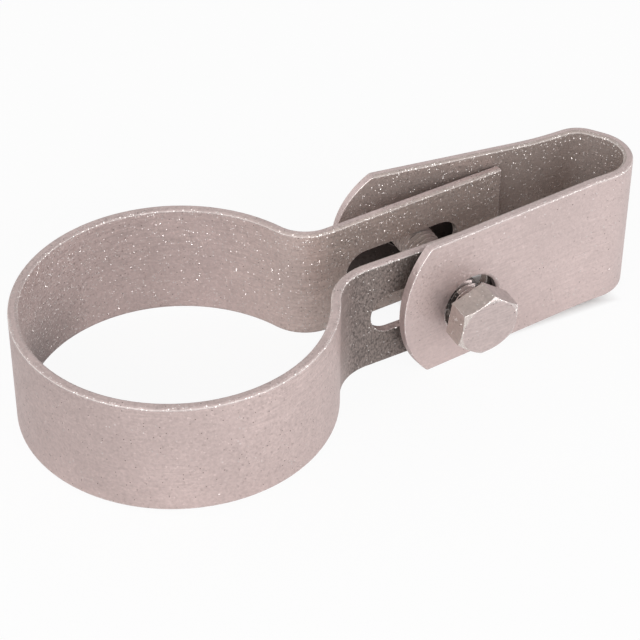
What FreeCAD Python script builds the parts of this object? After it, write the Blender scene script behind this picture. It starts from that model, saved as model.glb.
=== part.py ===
import FreeCAD
import Part

import math
import os

# Mesh panel clip for a round post: a band and a U clip, both bent from flat strip, on one bolt and nut.
# Millimetres, +Z up along the post. The origin is on the post's axis at the band's mid-height,
# +X runs from the post towards the mesh panel, and the nut is on the +Y side.

# Post and post band
POST_D = 60.3
POST_SLACK = 0.35
BAND_T = 2.0
BAND_W = 25.4
REAR_NECK_R = 8.6
FRONT_NECK_R = 12.0
REAR_EAR_Y = 8.2
REAR_EAR_SPLAY = 2.7
REAR_EAR_LENGTH = 50.35
FRONT_EAR_Y = 7.8
FRONT_EAR_SPLAY = -0.8
FRONT_EAR_SHORT = 2.7
SLOT_LENGTH = 28.0
SLOT_TO_TIP = 10.6
SLOT_DROP = 0.25

# Panel clip. Places along X are taken from the bolt, and flares open the legs towards the post.
CLIP_T = 2.0
CLIP_W = 31.75
REAR_TIP_GAP = 0.45
REAR_FLARE = 9.0
REAR_KNEE_OUT = 30.0
REAR_LEG_BACK = 15.6
REAR_END_RISE = 8.8
FRONT_TIP_GAP = 0.4
FRONT_FLARE = 4.4
FRONT_KNEE_OUT = 31.7
FRONT_LEG_BACK = 15.9
FRONT_END_RISE = 6.6
KNEE_R = 60.0
WALL_LEAN = 0.5
CORNER_OUT = 40.3
CORNER_R = 6.0
END_WALL_ANGLE = 56.0
BIGHT_R = 8.4
FRONT_HOLE_CLEARANCE = 5.0
FRONT_HOLE_OUT = 1.25
FRONT_HOLE_DROP = 2.6
REAR_HOLE_CLEARANCE = 1.0
REAR_HOLE_OUT = 0.35
REAR_HOLE_RISE = 0.7

# Edges that the strip mill and the punch leave broken. None takes more of a strip's thickness than
# the share below.
EDGE_BREAK = 0.4
HOLE_EDGE_BREAK = 0.5
EDGE_SHARE = 0.4

# Bolt and nut
BOLT_D = 8.0
BOLT_FROM_REAR_TIP = 20.2
BOLT_SKEW = 1.2
SLOT_CLEARANCE = 1.3
SLOT_TOUCH = 0.05
HEAD_AF = 13.0
HEAD_H = 5.5
HEAD_TURN = 36.8
HEAD_STAND_OFF = 3.75
NUT_AF = 13.0
NUT_H = 6.5
NUT_TURN = 12.0
NUT_BORE_CLEARANCE = 0.1
NUT_SEAT_GAP = 0.1
TIP_PROUD = 1.0
TIP_CHAMFER = 0.8
HEX_CHAMFER_ANGLE = 30.0
HEX_FACE_SHARE = 0.97

# Lengths closer than this are taken as equal.
SAME = 1e-6

post_r = POST_D / 2
ring_r = post_r + POST_SLACK + BAND_T / 2
slot_w = BOLT_D + SLOT_CLEARANCE
front_hole_d = BOLT_D + FRONT_HOLE_CLEARANCE
rear_hole_d = BOLT_D + REAR_HOLE_CLEARANCE
rear_tip_x = post_r + REAR_EAR_LENGTH
front_tip_x = rear_tip_x - FRONT_EAR_SHORT
bolt_x = rear_tip_x - BOLT_FROM_REAR_TIP


def vec(x, y, z=0.0):
    return FreeCAD.Vector(x, y, z)


def heading(degrees):
    """Unit vector in plan, anticlockwise from +X."""
    return vec(math.cos(math.radians(degrees)), math.sin(math.radians(degrees)))


def left_of(direction):
    return vec(-direction.y, direction.x)


def crossing(p, direction, q, other):
    """Where the plan line through p crosses the plan line through q."""
    span = q - p
    scale = direction.x * other.y - direction.y * other.x
    along = (span.x * other.y - span.y * other.x) / scale
    return p + direction * along


def line_run(p, q):
    return {"kind": "line", "start": p, "end": q}


def arc_run(centre, radius, start, end):
    """Arc about centre from the angle start to the angle end, in degrees."""
    return {"kind": "arc", "centre": centre, "radius": radius, "start": start, "end": end}


def offset_edge(run, shift):
    """The run moved by shift to its left, with its two end points."""
    if run["kind"] == "line":
        side = left_of((run["end"] - run["start"]).normalize()) * shift
        ends = (run["start"] + side, run["end"] + side)
        return Part.LineSegment(*ends).toShape(), ends
    turn = 1.0 if run["end"] > run["start"] else -1.0
    radius = run["radius"] - turn * shift
    middle = (run["start"] + run["end"]) / 2
    points = [run["centre"] + heading(a) * radius for a in (run["start"], middle, run["end"])]
    return Part.Arc(*points).toShape(), (points[0], points[2])


def bent_strip(runs, thickness, width):
    """Strip of the given thickness along a bent centre line, on edge and centred on Z = 0."""
    near = [offset_edge(run, thickness / 2) for run in runs]
    far = [offset_edge(run, -thickness / 2) for run in runs]
    start_cap = Part.LineSegment(near[0][1][0], far[0][1][0]).toShape()
    end_cap = Part.LineSegment(near[-1][1][1], far[-1][1][1]).toShape()
    edges = [edge for edge, ends in near + far] + [start_cap, end_cap]
    outline = Part.Wire(Part.__sortEdges__(edges))
    strip = Part.Face(outline).extrude(vec(0, 0, width))
    strip.translate(vec(0, 0, -width / 2))
    long_edges = [edge for edge in strip.Edges if is_long_edge(edge, width, thickness)]
    return strip.makeChamfer(min(EDGE_BREAK, EDGE_SHARE * thickness), long_edges)


def is_long_edge(edge, width, thickness):
    """True for the edges along the strip, at its top and bottom, without the two ends."""
    box = edge.BoundBox
    flat = box.ZLength < SAME and abs(abs(box.ZMin) - width / 2) < SAME
    return flat and edge.Length > thickness + SAME


def rounded_path(points, radii):
    """Runs through the points, with a tangent arc of its own radius at each inner point."""
    runs = []
    start = points[0]
    for before, corner, after, radius in zip(points, points[1:], points[2:], radii):
        come = (corner - before).normalize()
        go = (after - corner).normalize()
        turn = math.degrees(math.atan2(come.x * go.y - come.y * go.x, come.x * go.x + come.y * go.y))
        reach = radius * math.tan(math.radians(abs(turn)) / 2)
        side = 1.0 if turn > 0 else -1.0
        entry = corner - come * reach
        centre = entry + left_of(come) * (side * radius)
        angle = math.degrees(math.atan2(entry.y - centre.y, entry.x - centre.x))
        runs.append(line_run(start, entry))
        runs.append(arc_run(centre, radius, angle, angle + turn))
        start = corner + go * reach
    runs.append(line_run(start, points[-1]))
    return runs


def obround_cutter(middle, along, length, width, depth):
    """Slot cutter with round ends, standing square to a strip that runs along the given direction."""
    half = along * ((length - width) / 2)
    up = vec(0, 0, width / 2)
    ends = (middle - half, middle + half)
    arcs = [Part.Arc(end - up, end + along * (side * width / 2), end + up).toShape()
            for end, side in zip(ends, (-1, 1))]
    flats = [Part.LineSegment(ends[0] + lift, ends[1] + lift).toShape() for lift in (up, -up)]
    face = Part.Face(Part.Wire(Part.__sortEdges__(arcs + flats)))
    through = left_of(along) * depth
    face.translate(through * -0.5)
    return face.extrude(through)


def hole_cutter(middle, outward, diameter, thickness):
    """Hole cutter square to a strip, with the edge that the punch breaks on the outward face."""
    radius = diameter / 2
    edge = min(HOLE_EDGE_BREAK, EDGE_SHARE * thickness)
    face = thickness / 2
    outline = [vec(0, 0, -thickness), vec(radius, 0, -thickness), vec(radius, 0, face - edge),
               vec(radius + edge, 0, face), vec(radius + edge, 0, thickness), vec(0, 0, thickness),
               vec(0, 0, -thickness)]
    cutter = Part.Face(Part.makePolygon(outline)).revolve(vec(0, 0, 0), vec(0, 0, 1), 360)
    cutter.Placement = FreeCAD.Placement(middle, FreeCAD.Rotation(vec(0, 0, 1), outward))
    return cutter


# The ears' centre lines: a point at each tip and the direction out of the ring
rear_ear_dir = heading(REAR_EAR_SPLAY)
rear_ear_tip = vec(rear_tip_x, REAR_EAR_Y)
front_ear_dir = heading(-FRONT_EAR_SPLAY)
front_ear_tip = vec(front_tip_x, -FRONT_EAR_Y)


def neck(tip, direction, radius, side):
    """Reverse bend from an ear onto the ring: its centre, and where it meets the ear and the ring."""
    outward = left_of(direction) * side
    lift = tip.dot(outward) + radius
    along = math.sqrt((ring_r + radius) ** 2 - lift ** 2)
    centre = direction * along + outward * lift
    return centre, centre - outward * radius


def plan_angle(v):
    return math.degrees(math.atan2(v.y, v.x))


def post_band():
    rear_centre, rear_root = neck(rear_ear_tip, rear_ear_dir, REAR_NECK_R, 1)
    front_centre, front_root = neck(front_ear_tip, front_ear_dir, FRONT_NECK_R, -1)
    rear_ring_angle = plan_angle(rear_centre)
    front_ring_angle = 360.0 + plan_angle(front_centre)
    runs = [
        line_run(rear_ear_tip, rear_root),
        arc_run(rear_centre, REAR_NECK_R, 270.0 + REAR_EAR_SPLAY, 180.0 + rear_ring_angle),
        arc_run(vec(0, 0), ring_r, rear_ring_angle, front_ring_angle),
        arc_run(front_centre, FRONT_NECK_R, front_ring_angle - 180.0, 90.0 - FRONT_EAR_SPLAY),
        line_run(front_root, front_ear_tip),
    ]
    band = bent_strip(runs, BAND_T, BAND_W)
    for tip, direction in ((rear_ear_tip, rear_ear_dir), (front_ear_tip, front_ear_dir)):
        middle = tip - direction * (SLOT_TO_TIP + SLOT_LENGTH / 2) - vec(0, 0, SLOT_DROP)
        band = band.cut(obround_cutter(middle, direction, SLOT_LENGTH, slot_w, 3 * BAND_T))
    return band


def leg_point(tip, direction, gap, side):
    """A point on a leg's centre line, beside the ear tip that the leg passes."""
    outward = left_of(direction) * side
    return tip + outward * (BAND_T / 2 + gap + CLIP_T / 2)


# The legs' centre lines, which close in on each other from the post towards the panel
rear_leg_dir = heading(-REAR_FLARE)
rear_leg_at_tip = leg_point(rear_ear_tip, rear_leg_dir, REAR_TIP_GAP, 1)
front_leg_dir = heading(FRONT_FLARE)
front_leg_at_tip = leg_point(front_ear_tip, front_leg_dir, FRONT_TIP_GAP, -1)


def on_leg(point, direction, x):
    """The point of a leg's centre line at the given x."""
    return point + direction * ((x - point.x) / direction.x)


def rounded_leg_end(clip, tip, direction, rise):
    """Trims a leg to an arch whose middle is at tip and whose ends are on the strip's edges."""
    radius = ((CLIP_W / 2) ** 2 + rise ** 2) / (2 * rise)
    through = left_of(direction)
    depth = 4 * CLIP_T
    near = tip - through * (depth / 2)
    keep = Part.makeCylinder(radius, depth, near + direction * radius, through)
    blank = Part.Face(Part.makePolygon([
        near - direction + vec(0, 0, -CLIP_W),
        near + direction * rise + vec(0, 0, -CLIP_W),
        near + direction * rise + vec(0, 0, CLIP_W),
        near - direction + vec(0, 0, CLIP_W),
        near - direction + vec(0, 0, -CLIP_W),
    ])).extrude(through * depth)
    return clip.cut(blank.cut(keep))


def panel_clip():
    rear_knee = on_leg(rear_leg_at_tip, rear_leg_dir, bolt_x + REAR_KNEE_OUT)
    front_knee = on_leg(front_leg_at_tip, front_leg_dir, bolt_x + FRONT_KNEE_OUT)
    rear_tip = on_leg(rear_leg_at_tip, rear_leg_dir, bolt_x - REAR_LEG_BACK)
    front_tip = on_leg(front_leg_at_tip, front_leg_dir, bolt_x - FRONT_LEG_BACK)
    rear_wall = heading(-WALL_LEAN)
    corner = on_leg(rear_knee, rear_wall, bolt_x + CORNER_OUT)
    bight = crossing(corner, heading(-END_WALL_ANGLE), front_knee, heading(WALL_LEAN))
    path = rounded_path([rear_tip, rear_knee, corner, bight, front_knee, front_tip],
                        [KNEE_R, CORNER_R, BIGHT_R, KNEE_R])
    clip = bent_strip(path, CLIP_T, CLIP_W)
    clip = rounded_leg_end(clip, rear_tip, rear_leg_dir, REAR_END_RISE)
    clip = rounded_leg_end(clip, front_tip, front_leg_dir, FRONT_END_RISE)
    rear_hole = on_leg(rear_leg_at_tip, rear_leg_dir, bolt_x + REAR_HOLE_OUT)
    rear_hole = rear_hole + vec(0, 0, REAR_HOLE_RISE)
    front_hole = on_leg(front_leg_at_tip, front_leg_dir, bolt_x + FRONT_HOLE_OUT)
    front_hole = front_hole - vec(0, 0, FRONT_HOLE_DROP)
    clip = clip.cut(hole_cutter(rear_hole, left_of(rear_leg_dir), rear_hole_d, CLIP_T))
    return clip.cut(hole_cutter(front_hole, left_of(front_leg_dir) * -1, front_hole_d, CLIP_T))


def bolt_placement():
    """The bolt hangs by its head: its shank meets the rear slot's top and the front slot's bottom.

    Returns the placement that takes local +Z to the bolt's axis, from the head towards the nut,
    with the origin where the axis crosses the plane Y = 0.
    """
    rear_y = on_leg(rear_ear_tip, rear_ear_dir, bolt_x).y + BAND_T / 2
    front_y = on_leg(front_ear_tip, front_ear_dir, bolt_x).y - BAND_T / 2
    droop = math.degrees(math.atan((SLOT_CLEARANCE - 2 * SLOT_TOUCH) / (rear_y - front_y)))
    middle_z = -SLOT_DROP - math.tan(math.radians(droop)) * (rear_y + front_y) / 2
    lay_down = FreeCAD.Rotation(vec(1, 0, 0), -90)
    tilt = FreeCAD.Rotation(vec(1, 0, 0), droop)
    skew = FreeCAD.Rotation(vec(0, 0, 1), -BOLT_SKEW)
    return FreeCAD.Placement(vec(bolt_x, 0, middle_z), skew.multiply(tilt).multiply(lay_down))


def reach_to(point, normal, place):
    """Distance along the bolt's axis, from its origin, to the plane through point."""
    axis = place.Rotation.multVec(vec(0, 0, 1))
    return (point - place.Base).dot(normal) / axis.dot(normal)


def hexagon(across_flats, height, turn, chamfer_ends):
    """Hexagon prism on Z = 0 with its corners turned back at the given ends ("top", "bottom")."""
    corner_r = across_flats / math.sqrt(3)
    corners = [heading(turn + 60 * k) * corner_r for k in range(7)]
    prism = Part.Face(Part.makePolygon(corners)).extrude(vec(0, 0, height))
    flat_r = HEX_FACE_SHARE * across_flats / 2
    rise = (corner_r - flat_r) * math.tan(math.radians(HEX_CHAMFER_ANGLE))
    low = rise if "bottom" in chamfer_ends else 0.0
    high = rise if "top" in chamfer_ends else 0.0
    low_r = flat_r if low else corner_r
    high_r = flat_r if high else corner_r
    outline = [vec(0, 0, 0), vec(low_r, 0, 0), vec(corner_r, 0, low), vec(corner_r, 0, height - high),
               vec(high_r, 0, height), vec(0, 0, height), vec(0, 0, 0)]
    points = [p for p, q in zip(outline, outline[1:]) if (p - q).Length > SAME]
    turned = Part.Face(Part.makePolygon(points + points[:1])).revolve(vec(0, 0, 0), vec(0, 0, 1), 360)
    return prism.common(turned)


def nut_seat(place):
    """Distance along the axis to the nut's bearing face, which rocks on the slanting rear leg."""
    outward = left_of(rear_leg_dir)
    face = on_leg(rear_leg_at_tip, rear_leg_dir, bolt_x) + outward * (CLIP_T / 2)
    slant = place.Rotation.multVec(vec(0, 0, 1)).getAngle(outward)
    return reach_to(face, outward, place) + NUT_AF / 2 * math.tan(slant) + NUT_SEAT_GAP


def head_seat(place):
    """Distance along the axis to the head's bearing face, clear of the front leg while the nut is slack."""
    outward = left_of(front_leg_dir) * -1
    face = on_leg(front_leg_at_tip, front_leg_dir, bolt_x) + outward * (CLIP_T / 2)
    return reach_to(face, outward, place) - HEAD_STAND_OFF


def hex_bolt():
    place = bolt_placement()
    under_head = head_seat(place)
    tip = nut_seat(place) + NUT_H + TIP_PROUD
    head = hexagon(HEAD_AF, HEAD_H, HEAD_TURN, ("bottom",))
    head.translate(vec(0, 0, under_head - HEAD_H))
    shank_r = BOLT_D / 2
    outline = [vec(0, 0, under_head - HEAD_H / 2), vec(shank_r, 0, under_head - HEAD_H / 2),
               vec(shank_r, 0, tip - TIP_CHAMFER), vec(shank_r - TIP_CHAMFER, 0, tip), vec(0, 0, tip),
               vec(0, 0, under_head - HEAD_H / 2)]
    shank = Part.Face(Part.makePolygon(outline)).revolve(vec(0, 0, 0), vec(0, 0, 1), 360)
    bolt = head.fuse(shank).removeSplitter()
    bolt.Placement = place
    return bolt


def hex_nut():
    place = bolt_placement()
    seat = nut_seat(place)
    nut = hexagon(NUT_AF, NUT_H, NUT_TURN, ("top", "bottom"))
    bore_r = (BOLT_D + NUT_BORE_CLEARANCE) / 2
    nut = nut.cut(Part.makeCylinder(bore_r, 2 * NUT_H, vec(0, 0, -NUT_H / 2)))
    nut.translate(vec(0, 0, seat))
    nut.Placement = place.multiply(nut.Placement)
    return nut


os.makedirs("parts", exist_ok=True)
for node in (post_band, panel_clip, hex_bolt, hex_nut):
    node().exportStep("parts/" + node.__name__ + ".step")
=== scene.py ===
import math

import bmesh
import bpy
from mathutils import Matrix, Vector


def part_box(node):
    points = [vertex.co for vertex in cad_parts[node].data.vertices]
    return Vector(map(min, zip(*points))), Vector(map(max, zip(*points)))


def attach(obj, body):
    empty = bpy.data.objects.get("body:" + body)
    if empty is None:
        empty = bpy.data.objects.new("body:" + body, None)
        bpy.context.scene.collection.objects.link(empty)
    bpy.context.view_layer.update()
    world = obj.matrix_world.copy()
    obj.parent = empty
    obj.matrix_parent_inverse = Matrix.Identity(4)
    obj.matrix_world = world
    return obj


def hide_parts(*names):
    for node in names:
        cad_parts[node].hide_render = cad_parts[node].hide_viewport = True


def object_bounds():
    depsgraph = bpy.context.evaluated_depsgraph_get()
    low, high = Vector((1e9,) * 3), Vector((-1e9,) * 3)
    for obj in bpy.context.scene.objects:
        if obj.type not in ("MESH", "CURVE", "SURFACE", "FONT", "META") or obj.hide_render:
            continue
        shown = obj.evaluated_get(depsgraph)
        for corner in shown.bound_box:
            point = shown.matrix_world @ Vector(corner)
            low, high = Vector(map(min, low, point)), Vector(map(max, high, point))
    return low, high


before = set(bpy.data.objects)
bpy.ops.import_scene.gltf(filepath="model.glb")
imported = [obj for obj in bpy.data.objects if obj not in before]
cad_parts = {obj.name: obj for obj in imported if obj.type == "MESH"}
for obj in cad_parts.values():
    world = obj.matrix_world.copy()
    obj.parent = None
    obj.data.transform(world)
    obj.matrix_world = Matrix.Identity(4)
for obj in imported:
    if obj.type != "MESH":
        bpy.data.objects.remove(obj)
cad_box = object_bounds()

# Lengths are metres, in the CAD's frame.
MM = 0.001

# The photograph's camera, fitted to the outline of the part
VIEW_AZIMUTH = -29.57
VIEW_ELEVATION = 38.33
VIEW_ROLL = 0.38
VIEW_DISTANCE = 445.34 * MM
VIEW_RIGHT = 28.41 * MM
VIEW_UP = 6.23 * MM
PHOTO_PX = 640
FOCAL_PX = 2243.6
SENSOR = 36.0

# Mesh clean-up and edge rounding
WELD = 0.0005 * MM
FLAT_ANGLE = math.radians(0.4)
STRIP_SHARP = math.radians(28)
STRIP_EDGE = 0.2 * MM
HEX_SHARP = math.radians(40)
HEX_EDGE = 0.11 * MM
EDGE_SEGMENTS = 3
EDGE_PROFILE = 0.5

# Wear and painted light of a face, from painted shade to rubbed bright, which is partly a painted highlight.
# Dull faces hardly mirror.
WEAR_AND_LIGHT = "wear_and_light"
PAINTED_SHADE = -1.0
RUBBED = 1.0
DULL = "dull"
DULL_METAL_SHARE = 0.1
DULL_SHADE = 0.88
DULL_ROUGHNESS = 0.7
DEEPEST_PAINTED_SHADE = 0.15
RUBBED_ROUGHNESS = 0.2
# Rubbed faces turn paler, partly rubbed zinc and partly a painted highlight
RUBBED_PALER_AND_HIGHLIGHT = 0.3

# The strips' chamfers are dull. Of the rounded edges, those that look sideways are rubbed, and paler partly
# as a painted highlight.
CHAMFER_WIDTH = 0.62 * MM
CHAMFER_SLOPE = (0.5, 0.9)
RUBBED_SLOPE = (-0.05, 0.72)

# The bolt head's chamfers are rubbed, partly a painted highlight, and its upper flats nearly dull. Leans are
# from the head's face.
HEAD_CHAMFER_LEAN = (math.radians(20), math.radians(40))
HEAD_CHAMFER_RUB_AND_HIGHLIGHT = 0.9
HEAD_FLAT_LEAN = (math.radians(80), math.radians(100))
HEAD_FLAT_UP = 0.4
HEAD_FLAT_DULL = 0.9

# The thread beside the head gets painted shade except on top, and so do the walls of the clip's holes.
THREAD_SHADE_LENGTH = 9 * MM
THREAD_SHADE_BELOW = 0.36
HOLE_REACH = 11 * MM
HOLE_WALL = 0.3
HOLE_PAINTED_SHADE = -0.75

# Thread of the bolt, inside the plain shank that the CAD has. The profile gives places along one pitch
# and heights from root to crest, and the mark is that of the face after each place: painted shade at the
# root, rubbed bright on the flanks and crest, the crest partly a painted highlight.
SHANK_R = 4.0 * MM
PITCH = 1.25 * MM
CREST_R = 3.97 * MM
ROOT_R = 3.28 * MM
TIP_R = 3.2 * MM
THREAD_SINK = 0.3 * MM
THREAD_STEPS = 72
SPARE_TURNS = 2
THREAD_PROFILE = ((0.0, 0.0), (0.22, 0.0), (0.54, 1.0), (0.68, 1.0))
THREAD_WEAR_AND_LIGHT = (-0.7, 0.25, RUBBED, 0.25)

# Part of the zinc's skin is dull, so it isn't all mirror-like metal.
METAL_SHARE = 0.6

# Colours are linear. Zinc under this light is a warm, slightly pink grey. The inner faces beyond the ring
# and the front ear get a painted shade tint, less pink.
BAND_COLOUR = (0.6, 0.482, 0.462)
CLIP_COLOUR = (0.62, 0.503, 0.485)
BOLT_COLOUR = (0.565, 0.468, 0.452)
INNER_SHADE_TINT = (0.97, 1.0, 0.955)
SHADE_TINTED_FROM_X = (20 * MM, 40 * MM)
PIT_COLOUR = (0.13, 0.1, 0.088, 1.0)
GLINT_COLOUR = (0.95, 0.9, 0.87, 1.0)
WHITE = (1.0, 1.0, 1.0, 1.0)

# Noise patterns of the zinc: scale and detail, the range of the noise that is used, and its effect
MOTTLE = (70.0, 5.0)
MOTTLE_RANGE = (0.3, 0.7)
MOTTLE_SHADES = (0.94, 1.05)
FINE = (1500.0, 3.0)
FINE_RANGE = (0.25, 0.75)
STREAKS = (2400.0, 2.0)
STREAKS_STRETCH = (0.1, 0.1, 1.0)
STREAKS_RANGE = (0.3, 0.7)
PATCHES = (45.0, 3.0)
PATCHES_RANGE = (0.45, 0.62)
PATCHES_LEVELS = (0.15, 1.0)
SKIN = (420.0, 4.0)
SKIN_HEIGHT = 0.6
BUMP_STRENGTH = 0.35
BUMP_DISTANCE = 0.06 * MM

# Cell patterns: scale, and for dots the radius as a share of a cell. A cell's colour gives its lean.
CRYSTAL_SCALE = 2700.0
CRYSTALS_LEANING = (0.55, 1.0)
CRYSTAL_LEAST = 0.1
PIT_SCALE = 2000.0
PIT_RADIUS = 0.28
PIT_DEPTH = 0.5
FLAKE_SCALE = 2500.0
FLAKE_RADIUS = 0.36
DOT_CORE = 0.6
NO_LEAN = (0.5, 0.5, 0.5)

# Bright flakes lean towards this direction, and each a little its own way.
FLAKE_LEAN = (-1.15, -0.95, 0.9)
FLAKE_SPREAD = 3.0
FLAKE_LEAST_TILT = 0.3
RUBBED_SPREAD = 0.7
RUBBED_FLAKES = 0.9
OUTER_FLAKES = 0.014
DULL_FLAKES = 0.4
FLAKES_IF_DULL = 0.95

# A face counts as an inner one where it looks towards the middle of its strip. The change is gradual.
INNER_BORDER = 2 * MM
CLIP_MIDDLE = 80 * MM

# The band's inner side has more flakes at the ring's left and on the ear than in between.
RING_FLAKES = ((-28 * MM, -2 * MM), (2.0, 0.6))
EAR_FLAKES = ((26 * MM, 44 * MM), (0.6, 1.35))

# Painted light and shade on the band's inner side, a little lighter near the rear neck than at the back or on
# the ear.
RING_INNER_SHADE = ((8 * MM, 24 * MM), (0.95, 1.12))
EAR_INNER_SHADE = ((28 * MM, 42 * MM), (1.12, 1.0))

# The zinc on the front neck and ear is coarse, with folds that are one more noise pattern, and darker,
# partly a duller zinc and partly painted shade. It starts at these places along the strip.
COARSE_X = (27 * MM, 35 * MM)
COARSE_Y = (-4 * MM, -6 * MM)
COARSE_UP_TO = (0.35, 0.6)
COARSE_TONE_AND_SHADE = 0.41
COARSE_GRIT = 0.15
FOLDS = (2800.0, 3.0)
FOLDS_STRETCH = (1.0, 1.0, 0.5)
FOLDS_RANGE = (0.32, 0.6)
FOLDS_SHADES = (0.52, 1.22)
FOLDS_HEIGHT = 1.6

# Painted shade darkens the foot of the ring's inner side on the left. It grows over these ranges.
FOOT_X = (-6 * MM, -25 * MM)
FOOT_Z = (3 * MM, -12 * MM)
FOOT_PAINTED_SHADE = 0.3

# The clip's rear leg gets painted shade where it lies behind the rear ear, with fewer flakes there.
COVERED_X = (40 * MM, 74 * MM)
COVERED_Y = 6 * MM
COVERED_Z = (-12 * MM, 3 * MM)
COVERED_BORDER = 2 * MM
COVERED_PAINTED_SHADE = 0.2

# How much of the floor is plain white to the camera and in reflections. The rest takes light and shadow.
FLOOR_COLOUR = (0.9, 0.9, 0.9, 1.0)
FLOOR_ROUGHNESS = 0.9
FLOOR_SEEN = 0.92
FLOOR_MIRRORED = 0.45
FLOOR_SIZE = 8.0

# The mirrored floor is darker towards the ring's left, over this range and down to this brightness.
FLOOR_DARKER_X = (-48 * MM, -18 * MM)
FLOOR_DARKER = 0.33

# The floor inside the clip's closed part is left in its shadow: ranges along X and Y, with soft borders.
SHADED_X = (64 * MM, 95 * MM)
SHADED_Y = (-8 * MM, 10 * MM)
SHADED_BORDERS = (7 * MM, 3 * MM)

# Light from the horizon up to the zenith: height of the direction (its sine) and brightness
SKY = ((0.0, 0.95), (0.3, 0.9), (0.6, 0.8), (0.76, 0.6), (0.9, 0.2), (1.0, 0.12))

# The sky is a little brighter behind the part and on its left.
SKY_LEAN = (-0.15, 0.28, 0.0)

# Lamps: name, azimuth, elevation, width and height (m) and power (W), all at one distance
LAMP_DISTANCE = 0.9
LAMPS = (("front", 22.0, 14.0, 0.9, 0.5, 2.05), ("window", -42.0, 32.0, 0.8, 0.36, 2.8),
         ("side", 57.0, 3.0, 0.12, 0.12, 0.6), ("spark", 5.0, 31.0, 0.1, 0.1, 0.6))


def node_mesh(node):
    """The CAD node's mesh as a bmesh, welded, with flat areas joined into single faces."""
    bm = bmesh.new()
    bm.from_mesh(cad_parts[node].data)
    bmesh.ops.remove_doubles(bm, verts=bm.verts[:], dist=WELD)
    bmesh.ops.dissolve_limit(bm, angle_limit=FLAT_ANGLE, verts=bm.verts[:], edges=bm.edges[:])
    return bm


def add_layers(bm):
    for name in (WEAR_AND_LIGHT, DULL):
        bm.faces.layers.float.new(name)


def dull_chamfers(bm):
    """Marks the narrow sloping chamfers along a strip as dull."""
    dull = bm.faces.layers.float[DULL]
    for face in bm.faces:
        width = face.calc_area() / max(e.calc_length() for e in face.edges)
        if width < CHAMFER_WIDTH and CHAMFER_SLOPE[0] < abs(face.normal.z) < CHAMFER_SLOPE[1]:
            face[dull] = 1.0


def round_edges(bm, width, angle):
    """Rounds the sharp edges. The rounded faces that look sideways are rubbed bright, partly a painted
    highlight, the others dull.
    """
    sharp = [e for e in bm.edges if e.is_manifold and e.calc_face_angle() > angle]
    made = bmesh.ops.bevel(bm, geom=sharp, offset=width, offset_type="OFFSET", segments=EDGE_SEGMENTS,
                           profile=EDGE_PROFILE, affect="EDGES", clamp_overlap=False, loop_slide=True)
    wear_and_light = bm.faces.layers.float[WEAR_AND_LIGHT]
    dull = bm.faces.layers.float[DULL]
    for face in made["faces"]:
        if RUBBED_SLOPE[0] < face.normal.z < RUBBED_SLOPE[1]:
            face[wear_and_light] = RUBBED
        else:
            face[dull] = 1.0
    for face in bm.faces:
        face.smooth = True


def finish_piece(bm, name, node, material):
    """Makes the bmesh a piece that stands for a CAD node, with its shading weighted by face area."""
    bmesh.ops.recalc_face_normals(bm, faces=bm.faces[:])
    mesh = bpy.data.meshes.new(name)
    bm.to_mesh(mesh)
    bm.free()
    piece = bpy.data.objects.new(name, mesh)
    bpy.context.scene.collection.objects.link(piece)
    weighted = piece.modifiers.new("weighted_normals", "WEIGHTED_NORMAL")
    weighted.keep_sharp = True
    mesh.materials.append(material)
    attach(piece, "root")
    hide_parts(node)


def bolt_line(bm):
    """Middle of the bolt head's outer face, and the direction from there towards the nut."""
    face = max(bm.faces, key=lambda f: f.calc_area())
    return face.calc_center_bounds(), -face.normal


def from_line(point, start, axis):
    """Distance of a point from the line through start along the axis."""
    out = point - start
    return (out - axis * out.dot(axis)).length


def shade_holes(bm, start, axis):
    """Paints shade on the walls of the holes that the bolt passes through."""
    wear_and_light = bm.faces.layers.float[WEAR_AND_LIGHT]
    for face in bm.faces:
        near = from_line(face.calc_center_median(), start, axis) < HOLE_REACH
        if near and abs(face.normal.dot(axis)) < HOLE_WALL:
            face[wear_and_light] = HOLE_PAINTED_SHADE


def remove_shank(bm, start, axis):
    """Takes the plain shank off the head and closes the hole. Returns where it started and ended."""
    limit = SHANK_R + HEX_EDGE / 2
    shank = [f for f in bm.faces if all(from_line(v.co, start, axis) < limit for v in f.verts)]
    heights = [(v.co - start).dot(axis) for f in shank for v in f.verts]
    bmesh.ops.delete(bm, geom=shank, context="FACES")
    close_holes(bm)
    return min(heights), max(heights)


def close_holes(bm):
    rim = [e for e in bm.edges if e.is_boundary]
    bmesh.ops.holes_fill(bm, edges=rim, sides=0)


def mark_head(bm, axis):
    """Marks the head's chamfers as rubbed bright, partly a painted highlight, and its upper flats as nearly
    dull.
    """
    wear_and_light = bm.faces.layers.float[WEAR_AND_LIGHT]
    dull = bm.faces.layers.float[DULL]
    for face in bm.faces:
        lean = face.normal.angle(-axis)
        if HEAD_CHAMFER_LEAN[0] < lean < HEAD_CHAMFER_LEAN[1]:
            face[wear_and_light] = HEAD_CHAMFER_RUB_AND_HIGHLIGHT
        elif HEAD_FLAT_LEAN[0] < lean < HEAD_FLAT_LEAN[1] and face.normal.z > HEAD_FLAT_UP:
            face[dull] = HEAD_FLAT_DULL


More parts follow.
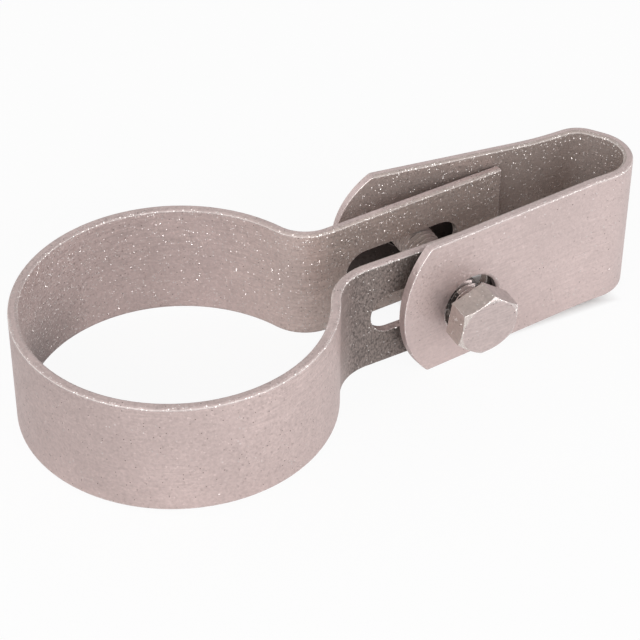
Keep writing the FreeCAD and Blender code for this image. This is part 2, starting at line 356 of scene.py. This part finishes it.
def add_thread(bm, start, axis, seat, reach):
    """Screw surface from under the head to the tip, with its turns run out at both ends."""
    side = axis.orthogonal().normalized()
    other = axis.cross(side)
    length = reach - seat + THREAD_SINK
    turns = int(length / PITCH) + SPARE_TURNS
    fractions = [(turn + share, height) for turn in range(-1, turns) for share, height in THREAD_PROFILE]
    rows = []
    for fraction, height in fractions:
        row = []
        for step in range(THREAD_STEPS + 1):
            turned = step / THREAD_STEPS
            along = (fraction + turned) * PITCH
            radius = ROOT_R + (CREST_R - ROOT_R) * height
            if along >= length:
                radius = TIP_R
            radius = min(radius, TIP_R + max(0.0, length - along))
            if along <= 0:
                radius = ROOT_R
            along = min(max(along, 0.0), length)
            out = side * math.cos(2 * math.pi * turned) + other * math.sin(2 * math.pi * turned)
            row.append(bm.verts.new(start + axis * (seat - THREAD_SINK + along) + out * radius))
        rows.append(row)
    wear_and_light = bm.faces.layers.float[WEAR_AND_LIGHT]
    for low, high, face_mark in zip(rows, rows[1:], THREAD_WEAR_AND_LIGHT * (turns + 1)):
        for k in range(THREAD_STEPS):
            face = bm.faces.new((low[k], low[k + 1], high[k + 1], high[k]))
            face.normal_update()
            face[wear_and_light] = face_mark
    # Painted shade on the thread beside the head, except on its top
    for face in bm.faces:
        along = (face.calc_center_median() - start).dot(axis) - seat
        if 0 < along < THREAD_SHADE_LENGTH and face.normal.z < THREAD_SHADE_BELOW:
            face[wear_and_light] = PAINTED_SHADE
    made = [v for row in rows for v in row]
    bmesh.ops.remove_doubles(bm, verts=made, dist=WELD)
    bmesh.ops.dissolve_degenerate(bm, edges=bm.edges[:], dist=WELD)
    close_holes(bm)


class Graph:
    """Shorthand for a node tree: an input takes a plain value or another node's output."""

    def __init__(self, tree):
        self.nodes = tree.nodes
        self.links = tree.links

    def feed(self, socket, value):
        if isinstance(value, bpy.types.NodeSocket):
            self.links.new(value, socket)
        else:
            socket.default_value = value

    def add(self, kind, inputs, **settings):
        node = self.nodes.new("ShaderNode" + kind)
        for key, value in settings.items():
            setattr(node, key, value)
        for key, value in inputs.items():
            self.feed(node.inputs[key], value)
        return node

    def math(self, operation, a, b):
        return self.add("Math", {0: a, 1: b}, operation=operation).outputs[0]

    def times(self, a, b):
        return self.math("MULTIPLY", a, b)

    def most(self, a, b):
        return self.math("MAXIMUM", a, b)

    def rest(self, share):
        return self.math("SUBTRACT", 1.0, share)

    def vector(self, operation, a, b):
        return self.add("VectorMath", {0: a, 1: b}, operation=operation).outputs[0]

    def dot(self, a, b):
        return self.add("VectorMath", {0: a, 1: b}, operation="DOT_PRODUCT").outputs["Value"]

    def scale(self, vector, factor):
        return self.add("VectorMath", {0: vector, "Scale": factor}, operation="SCALE").outputs[0]

    def parts(self, vector):
        return self.add("SeparateXYZ", {0: vector}).outputs

    def remap(self, value, limits, levels=(0.0, 1.0)):
        """Goes from the first level to the second as the value goes from one limit to the other."""
        return self.add("MapRange", {"Value": value, "From Min": limits[0], "From Max": limits[1],
                                     "To Min": levels[0], "To Max": levels[1]}).outputs["Result"]

    def between(self, share, start, end):
        """Goes from start to end as the share goes from nought to one."""
        return self.remap(share, (0.0, 1.0), (start, end))

    def noise(self, place, scale, detail):
        return self.add("TexNoise", {"Vector": place, "Scale": scale, "Detail": detail}).outputs["Fac"]

    def cells(self, place, scale):
        return self.add("TexVoronoi", {"Vector": place, "Scale": scale}).outputs

    def stretch(self, place, factors):
        return self.vector("MULTIPLY", place, factors)

    def blend(self, share, colour, other):
        return self.add("Mix", {0: share, 6: colour, 7: other}, data_type="RGBA").outputs[2]

    def geometry(self, name):
        return self.add("NewGeometry", {}).outputs[name]

    def layer(self, name):
        return self.add("Attribute", {}, attribute_name=name).outputs["Fac"]


def new_material(name):
    material = bpy.data.materials.new(name)
    material.use_nodes = True
    material.node_tree.nodes.clear()
    graph = Graph(material.node_tree)
    shader = graph.add("BsdfPrincipled", {})
    output = graph.add("OutputMaterial", {"Surface": shader.outputs[0]})
    return material, graph, shader, output


def dots(graph, cells, limit, radius):
    """Round dots in the cells whose number is over a limit."""
    chosen = graph.math("GREATER_THAN", graph.parts(cells["Color"])["X"], limit)
    return graph.times(chosen, graph.remap(cells["Distance"], (DOT_CORE * radius, radius), (1.0, 0.0)))


def cell_lean(graph, cells):
    return graph.vector("SUBTRACT", cells["Color"], NO_LEAN)


def inner_faces(graph, place, middle):
    """One on the faces that look towards a middle on the X axis, nought on the outer ones."""
    level = graph.stretch(graph.vector("SUBTRACT", place, (middle, 0.0, 0.0)), (1.0, 1.0, 0.0))
    away = graph.dot(graph.geometry("True Normal"), level)
    return graph.remap(away, (-INNER_BORDER, 0.0), (1.0, 0.0))


def coarse_shaded_area(graph, place, inside):
    """Where coarse zinc and painted shade go: one on the outer side of the band's front neck and ear, nought
    elsewhere and on the top edge.
    """
    at = graph.parts(place)
    up = graph.parts(graph.geometry("True Normal"))["Z"]
    area = graph.times(graph.remap(at["X"], COARSE_X), graph.remap(at["Y"], COARSE_Y))
    area = graph.times(area, graph.remap(up, COARSE_UP_TO, (1.0, 0.0)))
    return graph.times(area, graph.rest(inside))


def foot_shade_area(graph, place, inside):
    """Where shade is painted: one at the foot of the ring's inner left side, nought elsewhere."""
    at = graph.parts(place)
    area = graph.times(graph.remap(at["X"], FOOT_X), graph.remap(at["Z"], FOOT_Z))
    return graph.times(inside, area)


def covered_shade_area(graph, place, inside):
    """Where shade is painted: one on the inner face of the clip's rear leg behind the ear, nought elsewhere.
    """
    at = graph.parts(place)
    area = graph.times(inside, graph.math("GREATER_THAN", at["Y"], COVERED_Y))
    for value, (low, high) in ((at["X"], COVERED_X), (at["Z"], COVERED_Z)):
        area = graph.times(area, graph.remap(value, (low - COVERED_BORDER, low)))
        area = graph.times(area, graph.remap(value, (high, high + COVERED_BORDER), (1.0, 0.0)))
    return area


def zinc(name, colour, roughness, lean, grain, pits, glints, inner_shade=1.0, middle=0.0, band=False, clip=False):
    """Zinc coat: mottled colour, crystals that each lean their own way, dark pits and bright flakes, with
    painted shade and painted highlights in places.
    """
    material, graph, shader, _ = new_material(name)
    place = graph.add("TexCoord", {}).outputs["Object"]
    x = graph.parts(place)["X"]
    wear_and_light = graph.layer(WEAR_AND_LIGHT)
    dull = graph.layer(DULL)

    # Where the zinc differs, and where light and shade are painted
    inside = inner_faces(graph, place, middle)
    grit = inside
    shade_tinted = inside
    inner_flakes = glints
    if band:
        coarse_shaded = coarse_shaded_area(graph, place, inside)
        shade_tinted = graph.most(inside, coarse_shaded)
        grit = graph.most(inside, graph.times(coarse_shaded, COARSE_GRIT))
        flake_share = graph.most(graph.remap(x, *RING_FLAKES), graph.remap(x, *EAR_FLAKES))
        inner_flakes = graph.times(flake_share, glints)
        # Painted light and shade along the band's inner side
        inner_shade = graph.math("MINIMUM", graph.remap(x, *RING_INNER_SHADE), graph.remap(x, *EAR_INNER_SHADE))
    if clip:
        covered_shade = covered_shade_area(graph, place, inside)
        # Fewer flakes where shade is painted behind the rear ear
        grit = graph.math("SUBTRACT", grit, covered_shade)
    shade_tinted = graph.times(shade_tinted, graph.remap(x, SHADE_TINTED_FROM_X))

    # Pits, and flakes, which are most on rubbed edges
    pit = dots(graph, graph.cells(place, PIT_SCALE), 1.0 - pits, PIT_RADIUS)
    chamfer = graph.math("GREATER_THAN", dull, FLAKES_IF_DULL)
    flakes = graph.between(wear_and_light, graph.between(grit, OUTER_FLAKES, inner_flakes), RUBBED_FLAKES)
    flakes = graph.most(flakes, graph.times(chamfer, DULL_FLAKES))
    flake_cells = graph.cells(place, FLAKE_SCALE)
    glint = dots(graph, flake_cells, graph.rest(flakes), FLAKE_RADIUS)
    dull = graph.times(dull, graph.rest(glint))

    # Shade of the colour, and height of the skin
    mottle = graph.remap(graph.noise(place, *MOTTLE), MOTTLE_RANGE, MOTTLE_SHADES)
    fine = graph.remap(graph.noise(place, *FINE), FINE_RANGE, (1.0 - grain, 1.0 + grain))
    streaks = graph.noise(graph.stretch(place, STREAKS_STRETCH), *STREAKS)
    patches = graph.remap(graph.noise(place, *PATCHES), PATCHES_RANGE, PATCHES_LEVELS)
    rolled = graph.times(patches, graph.remap(streaks, STREAKS_RANGE, (-grain, grain)))
    shade = graph.times(graph.times(mottle, fine), graph.math("ADD", rolled, 1.0))
    skin = graph.times(graph.noise(place, *SKIN), SKIN_HEIGHT)
    if band:
        folds = graph.noise(graph.stretch(place, FOLDS_STRETCH), *FOLDS)
        # The coarse area is darker, partly a duller zinc and partly painted shade
        creases_and_shade = graph.times(graph.remap(folds, FOLDS_RANGE, FOLDS_SHADES), COARSE_TONE_AND_SHADE)
        shade = graph.times(shade, graph.between(coarse_shaded, 1.0, creases_and_shade))
        skin = graph.math("ADD", skin, graph.times(coarse_shaded, graph.times(folds, FOLDS_HEIGHT)))
        # Painted shade at the foot of the ring's inner left side
        shade = graph.times(shade, graph.between(foot_shade_area(graph, place, inside), 1.0, FOOT_PAINTED_SHADE))
    if clip:
        # Painted shade behind the rear ear
        shade = graph.times(shade, graph.between(covered_shade, 1.0, COVERED_PAINTED_SHADE))
    # Negative marks are painted shade: on the thread beside the head, at its roots and on the holes' walls
    shade = graph.times(shade, graph.remap(wear_and_light, (PAINTED_SHADE, 0.0), (DEEPEST_PAINTED_SHADE, 1.0)))
    # Painted light and shade on the inner faces
    shade = graph.times(shade, graph.between(inside, 1.0, inner_shade))
    shade = graph.times(shade, graph.between(dull, 1.0, DULL_SHADE))

    # Colour and gloss
    # Painted shade tint on the inner faces beyond the ring and on the front ear
    shade_tint_colour = [c * t for c, t in zip(colour, INNER_SHADE_TINT)]
    tone = graph.scale(graph.blend(shade_tinted, (*colour, 1.0), (*shade_tint_colour, 1.0)), shade)
    # Rubbed faces are paler towards the glint colour: partly rubbed zinc, partly a painted highlight
    paler_and_highlight = graph.most(glint, graph.times(wear_and_light, RUBBED_PALER_AND_HIGHLIGHT))
    tone = graph.blend(paler_and_highlight, graph.blend(pit, tone, PIT_COLOUR), GLINT_COLOUR)
    gloss = graph.between(graph.most(glint, wear_and_light), roughness, RUBBED_ROUGHNESS)
    graph.feed(shader.inputs["Base Color"], tone)
    graph.feed(shader.inputs["Metallic"], graph.between(dull, METAL_SHARE, DULL_METAL_SHARE))
    graph.feed(shader.inputs["Roughness"], graph.between(dull, gloss, DULL_ROUGHNESS))

    # Lean of the crystals and flakes, and bump
    edge = graph.most(wear_and_light, chamfer)
    crystals = graph.cells(place, CRYSTAL_SCALE)
    tilt = graph.remap(graph.parts(crystals["Color"])["X"], CRYSTALS_LEANING, (CRYSTAL_LEAST * lean, lean))
    normal = graph.vector("ADD", graph.geometry("Normal"), graph.scale(cell_lean(graph, crystals), tilt))
    spread = graph.between(edge, FLAKE_SPREAD, RUBBED_SPREAD)
    flake = graph.vector("ADD", graph.scale(cell_lean(graph, flake_cells), spread), FLAKE_LEAN)
    tilted = graph.between(graph.most(grit, edge), FLAKE_LEAST_TILT, 1.0)
    normal = graph.vector("ADD", normal, graph.scale(flake, graph.times(glint, tilted)))
    normal = graph.add("VectorMath", {0: normal}, operation="NORMALIZE").outputs[0]
    height = graph.math("SUBTRACT", skin, graph.times(pit, PIT_DEPTH))
    bump = graph.add("Bump", {"Strength": BUMP_STRENGTH, "Distance": BUMP_DISTANCE, "Height": height,
                              "Normal": normal})
    graph.feed(shader.inputs["Normal"], bump.outputs[0])
    return material


band_zinc = zinc("galvanised_band", BAND_COLOUR, roughness=0.46, lean=0.7, grain=0.11, pits=0.06, glints=0.34,
                 band=True)
# The clip's inner faces get painted shade
clip_zinc = zinc("galvanised_clip", CLIP_COLOUR, roughness=0.46, lean=0.5, grain=0.07, pits=0.02, glints=0.28,
                 inner_shade=0.86, middle=CLIP_MIDDLE, clip=True)
bolt_zinc = zinc("zinc_bolt", BOLT_COLOUR, roughness=0.42, lean=0.45, grain=0.1, pits=0.05, glints=0.1)

bolt = node_mesh("hex_bolt")
head_middle, bolt_axis = bolt_line(bolt)

for node, name, material in (("post_band", "band", band_zinc), ("panel_clip", "clip", clip_zinc)):
    strip = node_mesh(node)
    add_layers(strip)
    dull_chamfers(strip)
    round_edges(strip, STRIP_EDGE, STRIP_SHARP)
    if node == "panel_clip":
        shade_holes(strip, head_middle, bolt_axis)
    finish_piece(strip, name, node, material)

thread_seat, thread_reach = remove_shank(bolt, head_middle, bolt_axis)
add_layers(bolt)
round_edges(bolt, HEX_EDGE, HEX_SHARP)
mark_head(bolt, bolt_axis)
add_thread(bolt, head_middle, bolt_axis, thread_seat, thread_reach)
finish_piece(bolt, "bolt", "hex_bolt", bolt_zinc)

nut = node_mesh("hex_nut")
add_layers(nut)
round_edges(nut, HEX_EDGE, HEX_SHARP)
finish_piece(nut, "nut", "hex_nut", bolt_zinc)


def outward(azimuth, elevation):
    """Direction from the part to a viewer or lamp, from angles in radians."""
    level = Vector((math.sin(azimuth), -math.cos(azimuth), 0.0))
    return level * math.cos(elevation) + Vector((0.0, 0.0, math.sin(elevation)))


def photo_camera():
    azimuth, elevation, roll = (math.radians(a) for a in (VIEW_AZIMUTH, VIEW_ELEVATION, VIEW_ROLL))
    back = outward(azimuth, elevation)
    level = Vector((math.cos(azimuth), math.sin(azimuth), 0.0))
    upright = back.cross(level)
    right = level * math.cos(roll) + upright * math.sin(roll)
    up = upright * math.cos(roll) - level * math.sin(roll)
    camera = bpy.data.objects.new("camera", bpy.data.cameras.new("camera"))
    bpy.context.scene.collection.objects.link(camera)
    camera.data.sensor_width = SENSOR
    camera.data.lens = SENSOR * FOCAL_PX / PHOTO_PX
    camera.matrix_world = Matrix((right, up, back)).transposed().to_4x4()
    camera.location = right * VIEW_RIGHT + up * VIEW_UP + back * VIEW_DISTANCE
    bpy.context.scene.camera = camera


def lit_floor(graph, at):
    """Nought on the floor inside the clip's closed part, one elsewhere."""
    lit = 0.0
    for axis, (low, high), border in zip("XY", (SHADED_X, SHADED_Y), SHADED_BORDERS):
        lit = graph.most(lit, graph.remap(at[axis], (low, low - border)))
        lit = graph.most(lit, graph.remap(at[axis], (high, high + border)))
    return lit


def floor():
    """White floor that the part rests on with the clip's lower edges and the far side of the ring."""
    clip_points = [v.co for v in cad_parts["panel_clip"].data.vertices]
    clip_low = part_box("panel_clip")[0].z
    clip_foot = min(p.x for p in clip_points if p.z < clip_low + WELD)
    band_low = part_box("post_band")[0]
    mesh = bpy.data.meshes.new("floor")
    corners = [(x * FLOOR_SIZE, y * FLOOR_SIZE, 0) for x, y in ((-1, -1), (1, -1), (1, 1), (-1, 1))]
    mesh.from_pydata(corners, [], [(0, 1, 2, 3)])
    plane = bpy.data.objects.new("floor", mesh)
    bpy.context.scene.collection.objects.link(plane)
    plane.location = (clip_foot, 0.0, clip_low)
    plane.rotation_euler = (0.0, math.atan2(band_low.z - clip_low, clip_foot - band_low.x), 0.0)
    material, graph, shader, output = new_material("floor")
    shader.inputs["Base Color"].default_value = FLOOR_COLOUR
    shader.inputs["Roughness"].default_value = FLOOR_ROUGHNESS
    shader.inputs["Specular IOR Level"].default_value = 0.0
    at = graph.parts(graph.geometry("Position"))
    path = graph.add("LightPath", {}).outputs
    mirrored = graph.math("ADD", path["Is Glossy Ray"], path["Is Transmission Ray"])
    darker = graph.times(mirrored, graph.remap(at["X"], FLOOR_DARKER_X, (1.0 - FLOOR_DARKER, 0.0)))
    share = graph.math("ADD", graph.times(path["Is Camera Ray"], FLOOR_SEEN),
                       graph.times(mirrored, FLOOR_MIRRORED))
    share = graph.times(share, lit_floor(graph, at))
    white = graph.add("Emission", {"Color": WHITE, "Strength": graph.rest(darker)})
    blend = graph.add("MixShader", {0: share, 1: shader.outputs[0], 2: white.outputs[0]})
    graph.feed(output.inputs["Surface"], blend.outputs[0])
    mesh.materials.append(material)


def studio():
    """White near the horizon and darker overhead, with the lamps."""
    world = bpy.data.worlds.new("studio")
    bpy.context.scene.world = world
    world.use_nodes = True
    graph = Graph(world.node_tree)
    background = next(n for n in graph.nodes if n.type == "BACKGROUND")
    direction = graph.add("TexCoord", {}).outputs["Generated"]
    ramp = graph.add("ValToRGB", {0: graph.parts(direction)["Z"]})
    elements = ramp.color_ramp.elements
    while len(elements) < len(SKY):
        elements.new(1.0)
    for element, (position, level) in zip(elements, SKY):
        element.position = position
        element.color = (level, level, level, 1.0)
    graph.feed(background.inputs["Color"], ramp.outputs[0])
    graph.feed(background.inputs["Strength"], graph.math("ADD", graph.dot(direction, SKY_LEAN), 1.0))
    middle = (cad_box[0] + cad_box[1]) / 2
    for name, azimuth, elevation, width, tall, power in LAMPS:
        light = bpy.data.lights.new(name, "AREA")
        light.shape = "RECTANGLE"
        light.size = width
        light.size_y = tall
        light.energy = power
        lamp = bpy.data.objects.new(name, light)
        bpy.context.scene.collection.objects.link(lamp)
        out = outward(math.radians(azimuth), math.radians(elevation))
        lamp.location = middle + out * LAMP_DISTANCE
        lamp.rotation_euler = out.to_track_quat("Z", "Y").to_euler()


photo_camera()
floor()
studio()
bpy.context.scene.view_settings.view_transform = "Standard"
